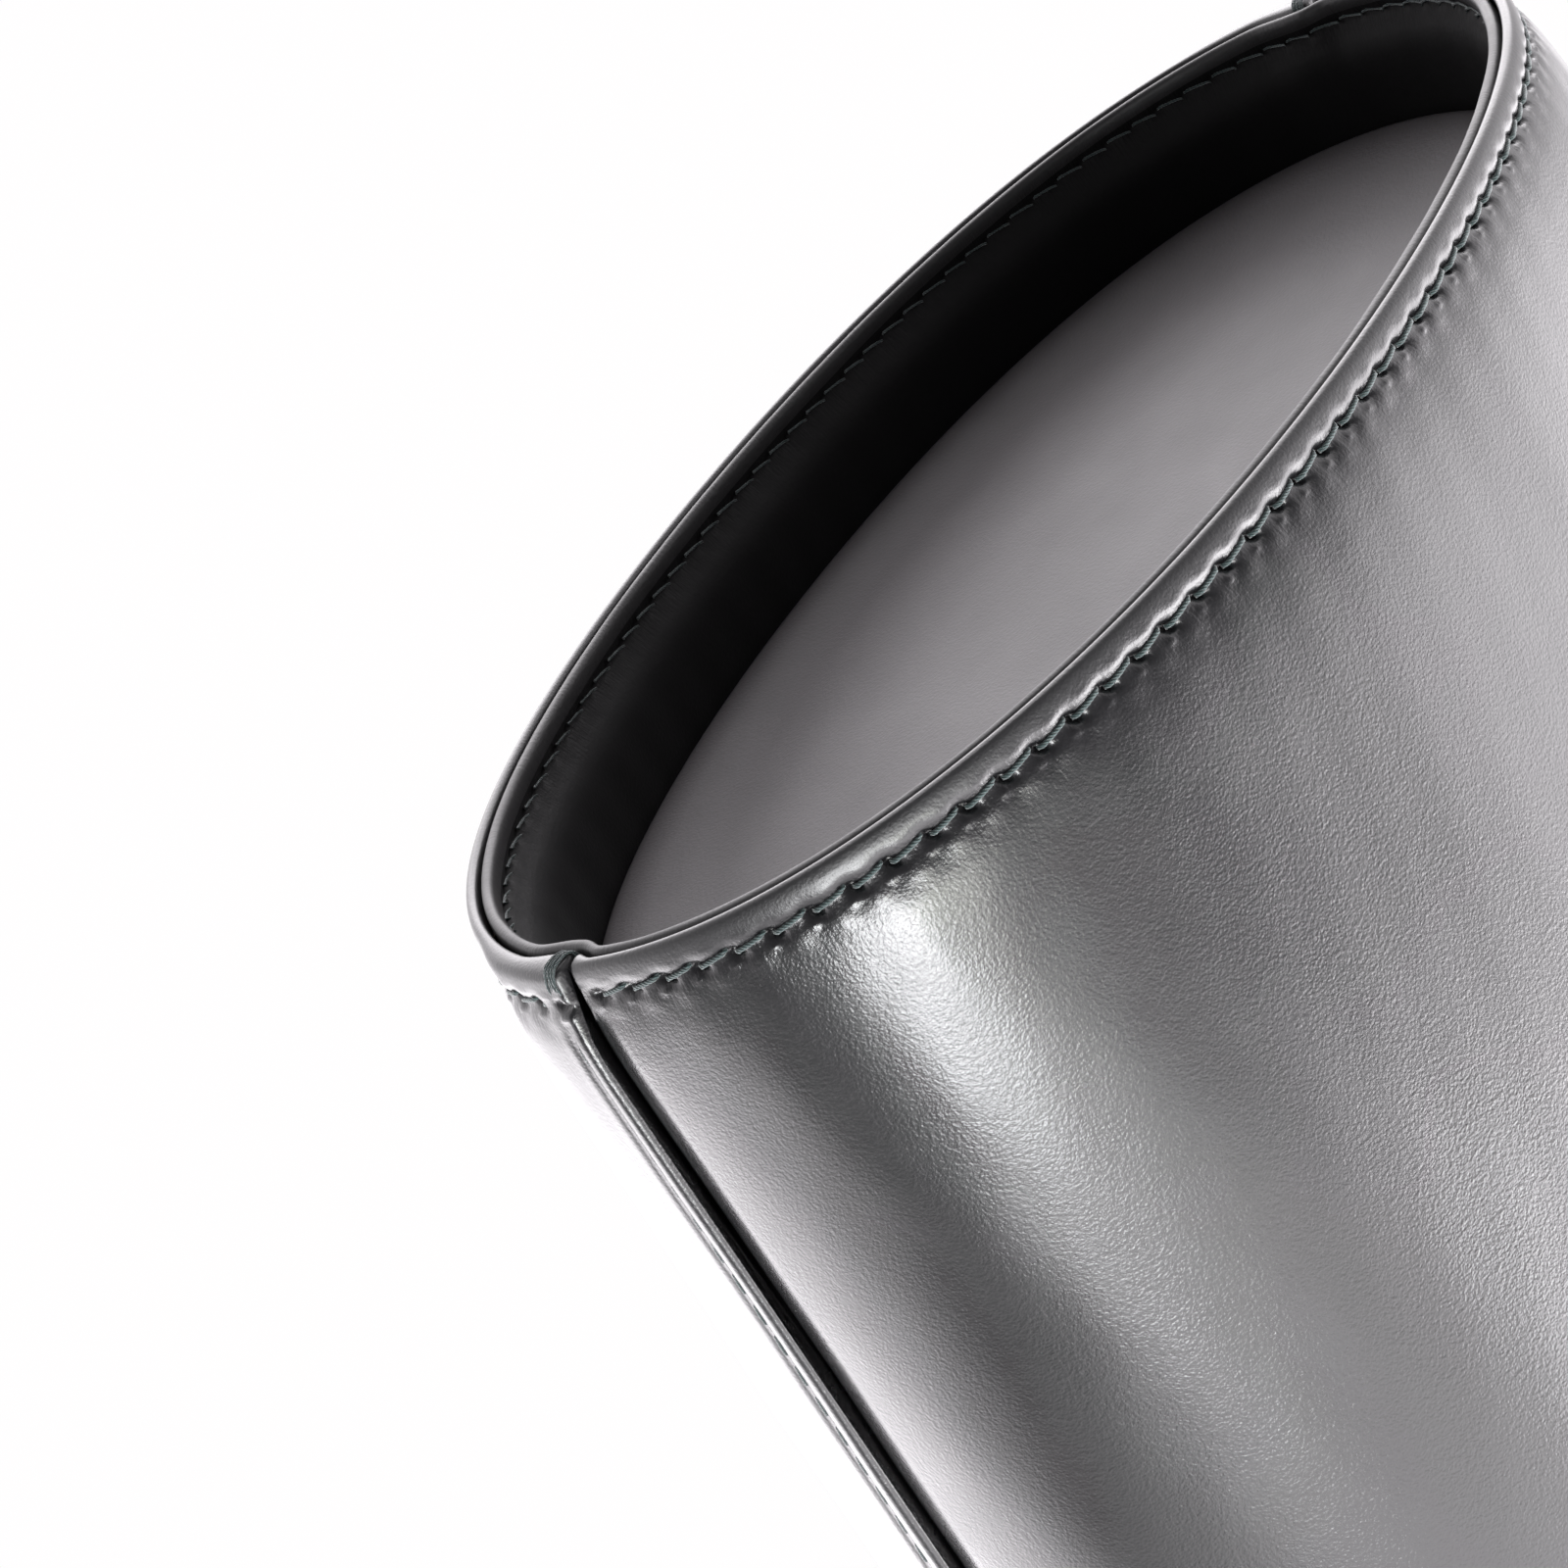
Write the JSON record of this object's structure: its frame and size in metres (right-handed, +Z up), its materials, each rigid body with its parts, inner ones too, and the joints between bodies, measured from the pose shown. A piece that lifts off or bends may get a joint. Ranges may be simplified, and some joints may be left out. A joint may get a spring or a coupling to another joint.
{
  "type": "leather dice cup",
  "caption": "Oval leather dice cup with two lapped side seams, stitched folded edges, a deep recessed base and an open mouth.",
  "frame": {"origin": "centre of the foot, on the surface the cup stands on", "axes": "+Z up from the foot to the mouth, X along the long axis of the oval with a side seam at each end, Y along the short axis"},
  "size_m": [0.1146, 0.0764, 0.095],
  "materials": {
    "outer_leather": "black box calf, polished, fine pebble grain",
    "matt_leather": "black lining leather, matt",
    "suede_lining": "charcoal suede, soft nap",
    "fibreboard": "pressed fibreboard",
    "foam": "thin felt padding",
    "thread": "waxed polyester thread, dark green-black"
  },
  "bodies": {
    "root": {"outer_panel_back": "outer_leather", "outer_panel_front": "outer_leather", "shell_board_back": "fibreboard", "shell_board_front": "fibreboard", "foot_band": "matt_leather", "base_leather": "matt_leather", "base_board": "fibreboard", "floor_board": "fibreboard", "wall_lining_back": "suede_lining", "wall_lining_front": "suede_lining", "mouth_facing": "matt_leather", "floor_pad": "foam", "floor_lining": "suede_lining", "foot_needle_thread": "thread", "foot_bobbin_thread": "thread", "mouth_needle_thread": "thread", "mouth_bobbin_thread": "thread", "seam_thread_right": "thread", "seam_thread_left": "thread", "foot_tack_right": "thread", "foot_tack_left": "thread", "mouth_tack_right": "thread", "mouth_tack_left": "thread"}
  },
  "joints": []
}
